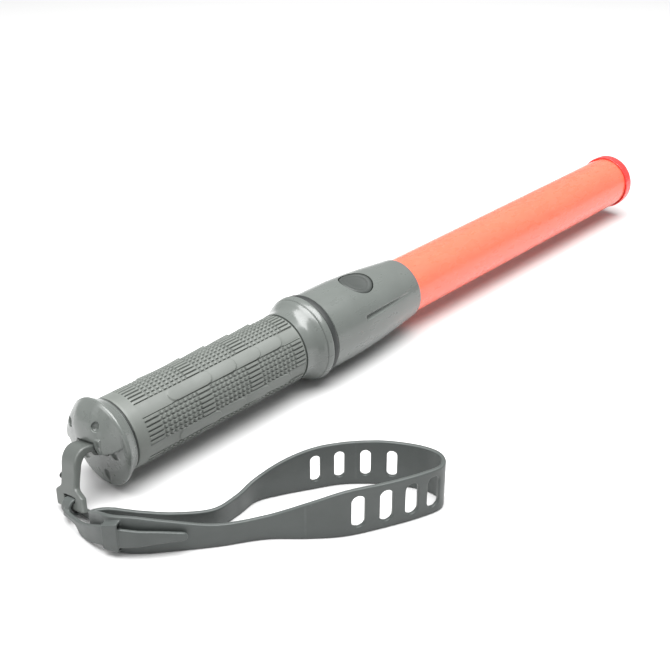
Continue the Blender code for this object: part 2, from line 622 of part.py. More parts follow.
def buckle_window(breadth):
    """Opening above the buckle's lower bar, cut square to the strap's run."""
    along = (BAR - BUCKLE_START).normalized()
    across = along.cross(breadth).normalized()
    bm = box((-5.9 * MM, -8.7 * MM, -6 * MM), (-1.8 * MM, 8.7 * MM, 6 * MM))
    frame = Matrix((along, breadth, across)).transposed().to_4x4()
    bm.transform(Matrix.Translation(BAR) @ frame)
    return bm


def link_stud(parent):
    """Cross pin that closes the link on itself. Its head stands out on the +Y side."""
    breadth = Matrix.Rotation(CAP_ROLL, 3, "X") @ Vector((0, 1, 0))
    inner, outer = LINK_STUD - breadth * 5.7 * MM, LINK_STUD + breadth * 7.4 * MM
    stud = finish(cylinder(inner, outer, 1.1 * MM, 16), "link_stud", "dark rubber", parent)
    head = cylinder(LINK_STUD + breadth * 7.35 * MM, LINK_STUD + breadth * 8.6 * MM, 1.9 * MM, 16)
    return boolean(stud, finish(head, "link_stud_head"), "UNION")


# --- wrist strap --------------------------------------------------------------------------
def strap_stations():
    """Centre and height of each station of the loop, the lower edge on the floor."""
    flat = smooth_curve([Vector((x, y, h)) * MM for x, y, h in STRAP_LOOP], LOOP_STEPS, cyclic=True)
    heights = [p.z for p in flat]
    floor = -AXIS_HEIGHT
    return [Vector((p.x, p.y, floor + p.z / 2)) for p in flat], heights


def slot_cutter(name, place_along, size, centres):
    """Upright rounded slot through the band, square to it."""
    i, t = int(place_along * LOOP_STEPS), place_along * LOOP_STEPS % 1
    centre = centres[i].lerp(centres[i + 1], t)
    along = (centres[i + 1] - centres[i]).normalized()
    along.z = 0
    across = along.cross(Vector((0, 0, 1))).normalized()
    length, height = size
    outline = []
    for k in range(16):
        angle = 2 * pi * (k + 0.5) / 16
        reach = (height - length) / 2 * (1 if sin(angle) > 0 else -1)
        outline.append(along * length / 2 * cos(angle)
                       + Vector((0, 0, reach + length / 2 * sin(angle))))
    bm = bmesh.new()
    near = [bm.verts.new(centre + p - across * 4 * MM) for p in outline]
    far = [bm.verts.new(centre + p + across * 4 * MM) for p in outline]
    bm.faces.new(near)
    bm.faces.new(far)
    for k in range(16):
        j = (k + 1) % 16
        bm.faces.new((near[k], near[j], far[j], far[k]))
    return finish(bm, name)


def upright(stations, thickness):
    """A strap on edge through (x, y, height, mid-height above the floor) stations, in mm."""
    plan = smooth_curve([Vector((x, y, mid)) * MM for x, y, _, mid in stations], LOOP_STEPS)
    heights = [p.z for p in smooth_curve([Vector((0, 0, h)) * MM for _, _, h, _ in stations], LOOP_STEPS)]
    centres = [p - Vector((0, 0, AXIS_HEIGHT)) for p in plan]
    return ribbon(centres, heights, [Vector((0, 0, 1))] * len(centres), thickness)


def keeper_box(length, inner, outer, low, high):
    """Box on the front band's outer side: reach outwards from the centreline, and heights."""
    outward = KEEPER_ALONG.cross(Vector((0, 0, 1)))
    bm = box((-length / 2, inner, low), (length / 2, outer, high))
    frame = Matrix((KEEPER_ALONG, outward, Vector((0, 0, 1)))).transposed().to_4x4()
    bm.transform(Matrix.Translation(KEEPER_AT - Vector((0, 0, AXIS_HEIGHT))) @ frame)
    return bm


def wrist_strap(parent):
    """One moulding: the slotted loop, the eye round the buckle's bar, the keeper and the tongue."""
    centres, heights = strap_stations()
    up = [Vector((0, 0, 1))] * len(centres)
    strap = finish(ribbon(centres, heights, up, STRAP_T, cyclic=True), "wrist_strap",
                   "strap rubber", parent)
    for i, place_along in enumerate(SLOT_SPANS):
        boolean(strap, slot_cutter(f"slot_cutter_{i + 1}", place_along, SLOT_SIZES[i // 4], centres))
    wall = KEEPER_WALL
    low, high = 3.5 * MM, 20.6 * MM
    outside = keeper_box(KEEPER_LENGTH, 0.4 * MM, 4.3 * MM + wall, low, high)
    boolean(strap, finish(outside, "keeper"), "UNION")
    inside = keeper_box(2 * KEEPER_LENGTH, 1.6 * MM, 4.3 * MM, low + wall, high - wall)
    boolean(strap, finish(inside, "keeper_cutter"))
    boolean(strap, finish(upright(ROOT_ARM, 2.4 * MM), "root_arm"), "UNION")
    boolean(strap, finish(upright(TONGUE, 2.2 * MM), "tongue"), "UNION")
    half = Matrix.Rotation(CAP_ROLL, 3, "X") @ Vector((0, EYE_BREADTH / 2, 0))
    boolean(strap, finish(cylinder(BAR - half, BAR + half, EYE_R, 28), "eye"), "UNION")
    boolean(strap, finish(cylinder(BAR - 2 * half, BAR + 2 * half, EYE_HOLE_R, 20), "eye_bore"))
    return strap


def build():
    clear_scene()
    baton = empty("baton")
    baton.location = (ORIGIN_X, ORIGIN_Y, AXIS_HEIGHT)
    bpy.context.view_layer.update()
    handle_barrel()
    grip_sleeve()
    head_o_ring()
    head_shell()
    tube_ring()
    light_tube()
    tip_cap()
    reflector()
    led_board()
    leds()
    circuit_board()
    board_screws()
    switch_body()
    batteries()
    front_contact()
    conductor_strip()
    leads()
    button()
    seal_slide = empty("seal_slide", (SKIRT_END, 0, 0), baton)
    cap_seal(seal_slide)
    cap_turn = empty("cap_turn", (0, 0, 0), seal_slide)
    tail_cap(cap_turn)
    strap_pin(cap_turn)
    tail_contact(cap_turn)
    tail_spring(cap_turn)
    pin = Matrix.Rotation(CAP_ROLL, 3, "X") @ Vector((PIN_X, 0, PIN_Z))
    link_pivot = empty("link_pivot", pin, cap_turn)
    strap_link(link_pivot)
    link_stud(link_pivot)
    strap_pivot = empty("strap_pivot", BAR, link_pivot)
    wrist_strap(strap_pivot)


build()
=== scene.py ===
"""Looks of the traffic baton light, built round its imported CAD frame.

The visible outer pieces are rebuilt here at a higher resolution and stand for their CAD nodes:
the ribbed grip with its scale pads, the collar, the fluted head with its button, the translucent
tube and tip, the tail cap with its hood and dimples, the link and the slotted wrist strap. The
pieces inside keep their CAD meshes. All of them are modelled in the baton's own frame, whose
origin is where the axis meets the tail cap's rim, with +X towards the tip, and lengths in mm.
"""

import json
from math import cos, pi, radians, sin, sqrt

import bmesh
import bpy
import numpy as np
from mathutils import Matrix, Vector


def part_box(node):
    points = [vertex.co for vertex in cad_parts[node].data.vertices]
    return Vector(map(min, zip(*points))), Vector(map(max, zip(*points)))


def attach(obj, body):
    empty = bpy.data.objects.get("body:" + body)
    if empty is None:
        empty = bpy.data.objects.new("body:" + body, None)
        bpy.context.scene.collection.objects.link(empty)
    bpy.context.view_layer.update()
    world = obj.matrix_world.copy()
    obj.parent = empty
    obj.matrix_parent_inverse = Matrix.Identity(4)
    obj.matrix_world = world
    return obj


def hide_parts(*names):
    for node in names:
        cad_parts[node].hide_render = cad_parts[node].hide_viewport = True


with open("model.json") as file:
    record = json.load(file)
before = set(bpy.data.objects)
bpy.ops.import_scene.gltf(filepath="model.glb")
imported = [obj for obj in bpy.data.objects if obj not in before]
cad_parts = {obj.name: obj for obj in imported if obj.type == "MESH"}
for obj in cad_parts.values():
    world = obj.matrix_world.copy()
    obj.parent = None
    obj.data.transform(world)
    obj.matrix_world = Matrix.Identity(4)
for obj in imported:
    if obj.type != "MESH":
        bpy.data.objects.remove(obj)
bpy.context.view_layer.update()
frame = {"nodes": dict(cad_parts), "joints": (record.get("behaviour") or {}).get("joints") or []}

MM = 0.001
JOINTS = {joint["name"]: joint for joint in frame["joints"]}
BATON = Vector(JOINTS["cap_turn"]["pos_m"])  # the baton frame's origin, in the row frame
LINK_PIN = (Vector(JOINTS["link_swing"]["pos_m"]) - BATON) / MM
STRAP_BAR = (Vector(JOINTS["strap_swing"]["pos_m"]) - BATON) / MM
PIN_AXIS = Vector(JOINTS["link_swing"]["axis"]).normalized()
PRESS_AXIS = Vector(JOINTS["button_press"]["axis"]).normalized()
AXIS_HEIGHT = BATON.z / MM


def extent(node):
    """A CAD node's lowest and highest corner in the baton's frame, in mm."""
    low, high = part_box(node)
    return (low - BATON) / MM, (high - BATON) / MM


CAP_ROLL = np.arctan2(PIN_AXIS.z, PIN_AXIS.y)  # the cap's ridge against the horizontal
HEAD_ROLL = np.arctan2(PRESS_AXIS.y, -PRESS_AXIS.z)  # the button leans this far towards -Y


# --- meshes -------------------------------------------------------------------------------
def smooth_curve(points, steps, cyclic=False):
    """Points along a Catmull-Rom curve through the given ones."""
    points = [Vector(p) for p in points]
    count = len(points)

    def at(i):
        return points[i % count] if cyclic else points[min(max(i, 0), count - 1)]

    made = []
    for i in range(count if cyclic else count - 1):
        a, b, c, d = at(i - 1), at(i), at(i + 1), at(i + 2)
        for k in range(steps):
            t = k / steps
            made.append(0.5 * (2 * b + (c - a) * t + (2 * a - 5 * b + 4 * c - d) * t ** 2
                               + (3 * b - 3 * c + d - a) * t ** 3))
    return made if cyclic else made + [points[-1]]


def fillet(outline, steps=5):
    """A closed outline with its corners rounded. A point is (x, y) or (x, y, fillet radius)."""
    made = []
    for i, point in enumerate(outline):
        here = Vector(point[:2])
        if len(point) < 3:
            made.append(here)
            continue
        back = Vector(outline[i - 1][:2]) - here
        on = Vector(outline[(i + 1) % len(outline)][:2]) - here
        reach = min(point[2], back.length * 0.48, on.length * 0.48)
        start, end = here + back.normalized() * reach, here + on.normalized() * reach
        for k in range(steps + 1):
            t = k / steps
            made.append(start * (1 - t) ** 2 + here * 2 * t * (1 - t) + end * t ** 2)
    return made


def lathe(outline, segments=160):
    """A closed outline of (x, radius) points spun about the baton's axis."""
    bm = bmesh.new()
    turns = [2 * pi * i / segments for i in range(segments)]
    rings = []
    for x, r in outline:
        if r < 1e-6:
            rings.append([bm.verts.new((x, 0, 0))] * segments)
        else:
            rings.append([bm.verts.new((x, r * sin(a), r * cos(a))) for a in turns])
    for ring, following in zip(rings, rings[1:] + rings[:1]):
        for i in range(segments):
            j = (i + 1) % segments
            corners = [ring[i], ring[j], following[j], following[i]]
            corners = [v for k, v in enumerate(corners) if v is not corners[k - 1]]
            if len(set(corners)) > 2:
                bm.faces.new(corners)
    return bm


def swept(sections, cyclic=False):
    """A solid through closed sections of equal length: capped at both ends, or, if it is cyclic,
    with the last section meeting the first."""
    bm = bmesh.new()
    rows = [[bm.verts.new(p) for p in section] for section in sections]
    pairs = list(zip(rows, rows[1:] + rows[:1]))
    for row, following in pairs if cyclic else pairs[:-1]:
        for i in range(len(row)):
            j = (i + 1) % len(row)
            bm.faces.new((row[i], row[j], following[j], following[i]))
    if not cyclic:
        bm.faces.new(rows[0])
        bm.faces.new(rows[-1])
    return bm


def strip(centres, breadths, across, depths, corner=0.45, cyclic=False):
    """A rounded flat band swept along centres: breadth in the direction across, depth through it."""
    sections = []
    count = len(centres)
    for i, centre in enumerate(centres):
        before = centres[i - 1] if cyclic or i else centre
        after = centres[(i + 1) % count] if cyclic or i < count - 1 else centre
        wide = across.normalized()
        through = (after - before).cross(wide).normalized()
        b, d = breadths[i] / 2, depths[i] / 2
        cut_b, cut_d = min(corner, b * 0.9), min(corner, d * 0.9)
        outline = ((b - cut_b, d), (b - cut_b * 0.3, d - cut_d * 0.3), (b, d - cut_d),
                   (b, cut_d - d), (b - cut_b * 0.3, cut_d * 0.3 - d), (b - cut_b, -d),
                   (cut_b - b, -d), (cut_b * 0.3 - b, cut_d * 0.3 - d), (-b, cut_d - d),
                   (-b, d - cut_d), (cut_b * 0.3 - b, d - cut_d * 0.3), (cut_b - b, d))
        sections.append([centre + wide * u + through * v for u, v in outline])
    return swept(sections, cyclic)


def rod(start, end, radius, segments=48, edge=0.25):
    """A round bar with rounded ends."""
    start, end = Vector(start), Vector(end)
    length = (end - start).length
    bm = lathe(fillet([(0, 0), (0, radius, edge), (length, radius, edge), (length, 0)]), segments)
    turn = (end - start).to_track_quat("X", "Z").to_matrix().to_4x4()
    bm.transform(Matrix.Translation(start) @ turn)
    return bm


def block(low, high, bevel=0.0):
    """A box between two corners, its edges rounded by bevel."""
    bm = bmesh.new()
    low, high = Vector(low), Vector(high)
    bmesh.ops.create_cube(bm, size=1, matrix=Matrix.Translation((low + high) / 2)
                          @ Matrix.Diagonal((*(high - low), 1)))
    if bevel:
        bmesh.ops.bevel(bm, geom=bm.edges, offset=bevel, segments=3, profile=0.5, affect="EDGES")
    return bm


def together(parts):
    """Several bmeshes as one."""
    whole = bmesh.new()
    for part in parts:
        mesh = bpy.data.meshes.new("part")
        part.to_mesh(mesh)
        part.free()
        whole.from_mesh(mesh)
        bpy.data.meshes.remove(mesh)
    return whole


def as_object(bm, name):
    """The bmesh, in mm in the baton's frame, as an object in metres in the row frame."""
    bm.transform(Matrix.Translation(BATON) @ Matrix.Diagonal((MM, MM, MM, 1)))
    bm.normal_update()
    bmesh.ops.recalc_face_normals(bm, faces=bm.faces)
    mesh = bpy.data.meshes.new(name)
    bm.to_mesh(mesh)
    bm.free()
    made = bpy.data.objects.new(name, mesh)
    bpy.context.scene.collection.objects.link(made)
    return made


def combine(obj, bm, operation="DIFFERENCE"):
    """Cuts the bmesh from the object, or joins it on, for good."""
    other = as_object(bm, "helper")
    modifier = obj.modifiers.new("combine", "BOOLEAN")
    modifier.operation, modifier.solver, modifier.object = operation, "EXACT", other
    settle(obj)
    bpy.data.meshes.remove(other.data)
    return obj


def settle(obj):
    """Makes the object's modifiers permanent."""
    graph = bpy.context.evaluated_depsgraph_get()
    mesh = bpy.data.meshes.new_from_object(obj.evaluated_get(graph))
    obj.modifiers.clear()
    old, obj.data = obj.data, mesh
    bpy.data.meshes.remove(old)
    return obj


def melt(obj, voxel, passes):
    """Joins overlapping shells into one skin and rounds its edges, as a moulding has them."""
    remesh = obj.modifiers.new("remesh", "REMESH")
    remesh.mode, remesh.voxel_size = "VOXEL", voxel * MM
    relax = obj.modifiers.new("relax", "SMOOTH")
    relax.factor, relax.iterations = 0.5, passes
    return settle(obj)


def piece(obj, body, nodes, finish, sharp=35):
    """Hands a finished object to the frame: its finish, its body and the CAD nodes it stands for."""
    obj.data.materials.clear()
    obj.data.materials.append(finish)
    obj.data.shade_smooth()
    obj.data.set_sharp_from_angle(angle=radians(sharp))
    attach(obj, body)
    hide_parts(*nodes)
    return obj


# --- materials ----------------------------------------------------------------------------
def add(tree, kind, inputs=None, **settings):
    """A node with its settings, and its inputs set to values or linked from other sockets."""
    node = tree.nodes.new(kind)
    for key, value in settings.items():
        setattr(node, key, value)
    for key, value in (inputs or {}).items():
        if isinstance(value, bpy.types.NodeSocket):
            tree.links.new(value, node.inputs[key])
        else:
            node.inputs[key].default_value = value
    return node


def noise(tree, where, scale, detail=3.0, stretch=(1, 1, 1), rough=0.5):
    """Factor of a noise over the object, scale in waves per metre."""
    spread = add(tree, "ShaderNodeMapping", {"Vector": where, "Scale": stretch})
    made = add(tree, "ShaderNodeTexNoise", {"Vector": spread.outputs["Vector"], "Scale": scale,
                                            "Detail": detail, "Roughness": rough})
    return made.outputs["Fac"]


def span(tree, value, from_low, from_high, to_low=0.0, to_high=1.0):
    """The value mapped from one range to another."""
    made = add(tree, "ShaderNodeMapRange", {"Value": value, "From Min": from_low, "From Max": from_high,
                                            "To Min": to_low, "To Max": to_high})
    return made.outputs["Result"]


def multiply(tree, a, b):
    return add(tree, "ShaderNodeMath", {0: a, 1: b}, operation="MULTIPLY").outputs[0]


def blend_colours(tree, factor, a, b):
    made = add(tree, "ShaderNodeMix", data_type="RGBA")
    sockets = {s.identifier: s for s in made.inputs}
    for key, value in (("Factor_Float", factor), ("A_Color", a), ("B_Color", b)):
        if isinstance(value, bpy.types.NodeSocket):
            tree.links.new(value, sockets[key])
        else:
            sockets[key].default_value = value
    return {s.identifier: s for s in made.outputs}["Result_Color"]


def tinted(colour, by):
    """The colour made lighter or darker, with its alpha."""
    return (*(min(1.0, c * by) for c in colour), 1.0)


def moulded(name, colour, roughness, vary=0.07, grain=0.25, grain_scale=1400, wear=0.35,
            crease_shade_strength=0.45, fixed=None):
    """Moulded plastic or rubber: mottled colour, fine grain, paler worn edges, painted shade darkening
    the creases.
    """
    made = bpy.data.materials.new(name)
    made.use_nodes = True
    tree = made.node_tree
    shader = tree.nodes["Principled BSDF"]
    where = add(tree, "ShaderNodeTexCoord").outputs["Object"]
    cloud = span(tree, noise(tree, where, 45, 4), 0.3, 0.7)
    flow = span(tree, noise(tree, where, 60, 2, (0.25, 1.6, 1.6)), 0.35, 0.65)
    base = blend_colours(tree, cloud, tinted(colour, 1 - vary), tinted(colour, 1 + vary))
    base = blend_colours(tree, multiply(tree, flow, 0.25), base, tinted(colour, 1 + 2 * vary))
    bend = add(tree, "ShaderNodeNewGeometry").outputs["Pointiness"]
    patchy = span(tree, noise(tree, where, 260, 5, rough=0.65), 0.38, 0.62)
    rubbed = multiply(tree, multiply(tree, span(tree, bend, 0.515, 0.58), patchy), wear)
    base = blend_colours(tree, rubbed, base, tinted(colour, 1.55))
    # painted shade: hollow creases are darkened towards 0.55 of the colour, as if shade fell there
    painted_crease_shade = multiply(tree, span(tree, bend, 0.49, 0.43), crease_shade_strength)
    base = blend_colours(tree, painted_crease_shade, base, tinted(colour, 0.55))
    tree.links.new(base, shader.inputs["Base Color"])
    smear = noise(tree, where, 170, 4, (0.4, 1, 1), 0.6)
    gloss = span(tree, smear, 0.3, 0.7, roughness - 0.06, roughness + 0.07)
    tree.links.new(gloss, shader.inputs["Roughness"])
    fine = noise(tree, where, grain_scale, 2)
    soft = noise(tree, where, 90, 2)
    height = add(tree, "ShaderNodeMath", {0: multiply(tree, fine, 0.3), 1: soft}, operation="ADD")
    bump = add(tree, "ShaderNodeBump", {"Height": height.outputs[0], "Strength": grain,
                                        "Distance": 0.00012})
    tree.links.new(bump.outputs["Normal"], shader.inputs["Normal"])
    for key, value in (fixed or {}).items():
        shader.inputs[key].default_value = value
    return made


def metal(name, colour, roughness, brush=(1, 30, 30)):
    """Bare metal with drawn lines, stains and a little dullness."""
    made = bpy.data.materials.new(name)
    made.use_nodes = True
    tree = made.node_tree
    shader = tree.nodes["Principled BSDF"]
    where = add(tree, "ShaderNodeTexCoord").outputs["Object"]
    stain = span(tree, noise(tree, where, 220, 4), 0.35, 0.65)
    base = blend_colours(tree, stain, tinted(colour, 0.82), tinted(colour, 1.05))
    tree.links.new(base, shader.inputs["Base Color"])
    lines = noise(tree, where, 240, 3, brush)
    tree.links.new(span(tree, lines, 0.3, 0.7, roughness - 0.05, roughness + 0.12),
                   shader.inputs["Roughness"])
    bump = add(tree, "ShaderNodeBump", {"Height": lines, "Strength": 0.2, "Distance": 0.00005})
    tree.links.new(bump.outputs["Normal"], shader.inputs["Normal"])
    shader.inputs["Metallic"].default_value = 1.0
    return made


FINISHES = {
    "housing_grey": moulded("housing_grey", (0.110, 0.121, 0.113), 0.30, grain=0.10,
                            fixed={"Coat Weight": 0.35, "Coat Roughness": 0.12}),
    # the grip's grooves take the strongest painted crease shade
    "grip_grey": moulded("grip_grey", (0.130, 0.141, 0.130), 0.52, grain=0.5, wear=0.5,
                         crease_shade_strength=0.8),
    "rubber_dark": moulded("rubber_dark", (0.020, 0.023, 0.022), 0.55, grain=0.4, wear=0.2),
    "button_rubber": moulded("button_rubber", (0.042, 0.047, 0.044), 0.50, grain=0.4, wear=0.3),
    "strap_rubber": moulded("strap_rubber", (0.052, 0.060, 0.057), 0.48, grain=0.3, wear=0.4,
                            fixed={"Sheen Weight": 0.1, "Sheen Roughness": 0.5}),
    "link_rubber": moulded("link_rubber", (0.080, 0.088, 0.082), 0.36, grain=0.25, wear=0.4),
    "tube_orange": moulded("tube_orange", (0.95, 0.145, 0.085), 0.28, vary=0.02, grain=0.06,
                           wear=0.0, crease_shade_strength=0.0,
                           fixed={"Subsurface Weight": 0.45, "Subsurface Scale": 0.004,
                                  "Subsurface Radius": (1.0, 0.45, 0.3), "Coat Weight": 0.3,
                                  "Coat Roughness": 0.12}),
    "tip_red": moulded("tip_red", (0.85, 0.038, 0.034), 0.24, vary=0.04, grain=0.06,
                       wear=0.0, crease_shade_strength=0.0,
                       fixed={"Subsurface Weight": 0.25, "Subsurface Scale": 0.003,
                              "Subsurface Radius": (1.0, 0.25, 0.2), "Coat Weight": 0.5,
                              "Coat Roughness": 0.10}),
    "chrome": metal("chrome", (0.86, 0.87, 0.88), 0.10),
    "steel": metal("steel", (0.60, 0.60, 0.59), 0.30),
    "brass": metal("brass", (0.76, 0.56, 0.24), 0.32),
    "board_green": moulded("board_green", (0.030, 0.170, 0.070), 0.40, vary=0.2, grain=0.4,
                           grain_scale=2600, wear=0.1),
    "switch_black": moulded("switch_black", (0.020, 0.020, 0.022), 0.42, grain=0.3, wear=0.2),
    "led_lens": moulded("led_lens", (0.85, 0.28, 0.24), 0.12, vary=0.03, grain=0.05, wear=0.0,
                        fixed={"Coat Weight": 0.6, "Coat Roughness": 0.05}),
    "cell_jacket": moulded("cell_jacket", (0.035, 0.045, 0.110), 0.30, grain=0.1, wear=0.3),
    "wire_red": moulded("wire_red", (0.55, 0.030, 0.025), 0.42, grain=0.3, wear=0.1),
    "wire_black": moulded("wire_black", (0.022, 0.022, 0.024), 0.42, grain=0.3, wear=0.1),
}


# --- grip ---------------------------------------------------------------------------------
PADS = (37.8, 104, 180, 256, 319)  # middles of the five rows of scales, degrees from the top to -Y
PAD_HALF = 11.3  # half their width in degrees
PAD_REACH = 4.1  # half the width of a scale's top
RIB_PITCH = 7.3  # degrees
RIB_STEPS = (0, 0.13, 0.24, 0.5, 0.76, 0.87)  # where a rib's columns lie between two grooves
SMOOTH_R, FLOOR_R, RIB_R = 22.5, 21.65, 22.75  # plain tail band, bottoms of grooves, tops of ribs
FRONT_BAND_R = 22.2  # plain band at the front end
DOT_PITCH, DOTS = 3.45, 8
DOT_SECTIONS = (29.8, 68.1, 106.4)  # where the three dotted sections start
SCALES = (  # front end, then (x, radius) along each scale's top
    (71.5, ((38, 23.0), (46, 22.8), (52, 22.65), (60, 22.7), (66, 23.0), (71.5, 23.3))),
    (91.0, ((66, 22.25), (72, 22.5), (80, 22.9), (91, 23.4))),
    (110.5, ((86, 22.2), (92, 22.5), (100, 23.0), (110.5, 23.4))),
    (128.5, ((104, 22.2), (110, 22.5), (120, 23.0), (128.5, 23.4))),
)
SCALE_START = 40.0
BESIDE_R = 22.35  # the pads before and after their scales
SLEEVE_BORE_R = 20.75
BORDER = -1.0  # marks the column between a pad and its neighbouring rib


def ease(t):
    t = np.clip(t, 0, 1)
    return t * t * (3 - 2 * t)


def grip_columns():
    """(angle in degrees, share of the rib's height, offset from the scales' middle or None)."""
    columns = []
    for i, pad in enumerate(PADS):
        for offset in np.linspace(-1, 1, 23):
            s = offset * PAD_REACH
            columns.append((pad + np.degrees(s / SMOOTH_R), 0.0, s))
        start = pad + PAD_HALF
        end = PADS[(i + 1) % len(PADS)] - PAD_HALF + (360 if i == len(PADS) - 1 else 0)
        ribs = round((end - start) / RIB_PITCH)
        pitch = (end - start) / ribs
        for k in range(ribs):
            for step in RIB_STEPS:
                across = min(step, 1 - step)
                height = ease((across - 0.12) / 0.12) * (1 if across < 0.4 else 1.05)
                border = k == 0 and step == 0
                columns.append((start + pitch * (k + step), BORDER if border else float(height), None))
        columns.append((end, BORDER, None))
    return columns


def grip_rows():
    """Places along the grip: close together in the dots, wider apart elsewhere."""
    low, high = extent("grip_sleeve")
    rows = [low.x, low.x + 0.15, low.x + 0.4, 12.5, 14.5, 16.5, 18.0, 18.6, 19.0, 19.4, 19.9]
    at = 20.5
    for section in DOT_SECTIONS:
        rows += list(np.arange(at, section - 0.3, 0.65))
        for k in range(DOTS):
            rows += [section + DOT_PITCH * (k + f) for f in (0, 0.1, 0.2, 0.33, 0.5, 0.67, 0.8, 0.9)]
        at = section + DOT_PITCH * DOTS
    rows += list(np.arange(at, high.x - 1.2, 0.65))
    return np.array(rows + [high.x - 1.0, high.x - 0.5, high.x - 0.2, high.x])


def dotted(rows):
    """Share of a rib's height left at each row by the crosscuts."""
    left = np.ones(len(rows))
    for section in DOT_SECTIONS:
        phase = (rows - section) / DOT_PITCH
        inside = (phase >= -1e-6) & (phase <= DOTS + 1e-6)
        across = np.minimum(phase % 1, 1 - phase % 1)
        left = np.where(inside, 0.12 + 0.88 * ease((across - 0.06) / 0.28), left)
    return left


def scale_heights(rows, s):
    """Radius along the rows of scales, at an offset s from their middle."""
    bow = PAD_REACH - sqrt(max(PAD_REACH ** 2 - s ** 2, 0))
    base = np.interp(rows, (18, 22, 129, 131), (SMOOTH_R, BESIDE_R, BESIDE_R, 22.05))
    tops = [np.interp(rows, *zip(*profile)) for _, profile in SCALES]
    height = tops[0]
    for k, (front, _) in enumerate(SCALES):
        following = tops[k + 1] if k + 1 < len(SCALES) else base
        passed = ease((rows - (front - bow)) / 0.5)
        height = height * (1 - passed) + following * passed
    risen = ease((rows - (SCALE_START + bow) + 0.25) / 0.5)
    height = height - 0.10 * abs(s / PAD_REACH) ** 6
    return base * (1 - risen) + height * risen


def grip_sleeve():
    """Soft sleeve: ribs, crosscut dots and five rows of overlapping scales between plain ends."""
    rows, columns = grip_rows(), grip_columns()
    low, high = extent("grip_sleeve")
    begun = ease((rows - 18.7) / 0.5)
    ended = ease((high.x - 0.9 - rows) / 0.5)
    crosscut = dotted(rows)
    radii = []
    for _, rib, s in columns:
        if rib == BORDER:
            scaled = ease((rows - SCALE_START) / 1.5) * ease((130 - rows) / 1.5)
            textured = BESIDE_R + (FLOOR_R - BESIDE_R) * scaled
        elif s is None:
            textured = FLOOR_R + (RIB_R - FLOOR_R) * rib * crosscut
        else:
            textured = scale_heights(rows, s)
        plain = np.where(rows < 60, SMOOTH_R, FRONT_BAND_R)
        radii.append(plain + (textured - plain) * begun * ended)
    radii = np.array(radii).T
    for row, rounding in ((0, 0.45), (1, 0.15), (-1, 0.5), (-2, 0.15)):
        radii[row] -= rounding
    angles = np.radians([c[0] for c in columns])
    rings = [np.stack([np.full(len(angles), x), -r * np.sin(angles), r * np.cos(angles)], 1)
             for x, r in zip(rows, radii)]
    for x in (high.x, low.x):
        rings.append(np.stack([np.full(len(angles), x), -SLEEVE_BORE_R * np.sin(angles),
                               SLEEVE_BORE_R * np.cos(angles)], 1))
    sleeve = as_object(swept([[tuple(p) for p in ring] for ring in rings], cyclic=True), "grip")
    return piece(sleeve, "handle", ["grip_sleeve"], FINISHES["grip_grey"], 40)


# --- barrel, collar, ring and head --------------------------------------------------------
def collar_flare():
    """Outer profile from the grip's front end, over the bulb, to the lip behind the ring."""
    through = [(144.4, 22.9), (149, 23.15), (151.5, 23.85), (154, 25.2), (156, 26.5), (158, 27.5),
               (160, 28.2), (161.6, 28.55), (162.5, 28.5)]
    flare = smooth_curve([(x, r, 0) for x, r in through], 8)
    return [(p.x, p.y - 0.55 * np.exp(-((p.x - 158.2) / 0.32) ** 2)) for p in flare]


def barrel_and_collar():
    """Battery barrel, its flared collar, the neck inside the head and the wall between the two."""
    under_grip = [(10.6, 18.6, 0.3), (10.6, 20.4, 0.3), (144.4, 20.4)]
    neck = [(163.0, 28.1, 0.3), (163.0, 23.3, 0.3), (183.0, 23.3, 0.4), (184.0, 22.5, 0.3)]
    neck_bore_and_wall = [(184.0, 20.8), (151.5, 20.8, 0.5), (151.5, 1.9, 0.2), (148.3, 1.9, 0.2)]
    battery_bore = [(148.3, 17.9, 0.5), (19.5, 17.9), (19.0, 18.6)]
    outline = under_grip + collar_flare() + neck + neck_bore_and_wall + battery_bore
    barrel = as_object(lathe(fillet(outline, 3), 192), "barrel_and_collar")
    strip_slot = block((146.3, -17.85, -2.6), (153.5, -17.0, 2.6))  # lets the contact strip through
    combine(barrel, strip_slot)
    return piece(barrel, "handle", ["handle_barrel"], FINISHES["housing_grey"])


def neck_ring():
    """Dark ring between the collar and the head."""
    low, high = extent("head_o_ring")
    outline = [(low.x, 23.65, 0.3), (low.x, 27.7, 0.5), (low.x + 1.6, 28.0, 0.8),
               (high.x - 1.2, 27.85, 0.8), (high.x, 27.2, 0.5), (high.x, 23.65, 0.3)]
    ring = as_object(lathe(fillet(outline), 192), "neck_ring")
    return piece(ring, "handle", ["head_o_ring"], FINISHES["rubber_dark"])


HEAD_PROFILE = ((0, 26.1), (0.5, 26.6), (1.4, 26.75), (14, 26.8), (26, 26.8), (33, 26.6), (41, 26.2),
                (49, 25.7), (57, 25.0), (65, 24.2), (73, 23.3), (81, 22.4), (87.0, 21.8), (88.8, 21.4),
                (89.4, 20.8))  # from the head's tail end: distance, radius
FLUTE_FROM, FLUTE_TO, FLUTE_DEPTH = 196.5, 246.0, 2.3
FLUTE_ANGLE = 58  # degrees each side of the button
HEAD_BORE = ((243.9, 20.35), (243.9, 21.7), (232, 22.0), (214, 24.2), (187, 24.4), (185, 23.7))
POST_FOOT, POST_R = 12.95, 2.6  # the board's posts, in from the wall
POST_TOPS = (25.4, 23.9)  # rear and front, inside the wall
SCREW_HOLE_R, SCREW_HOLE_DEPTH = 1.3, 6.0
BUTTON_R, BUTTON_GAP = 11.4, 0.5


def head_radius(x):
    """Radius of the head at x, on a smooth curve through its profile."""
    start = extent("head_shell")[0].x
    curve = smooth_curve([(px, pr, 0) for px, pr in HEAD_PROFILE], 6)
    return np.interp(x - start, [p.x for p in curve], [p.y for p in curve])


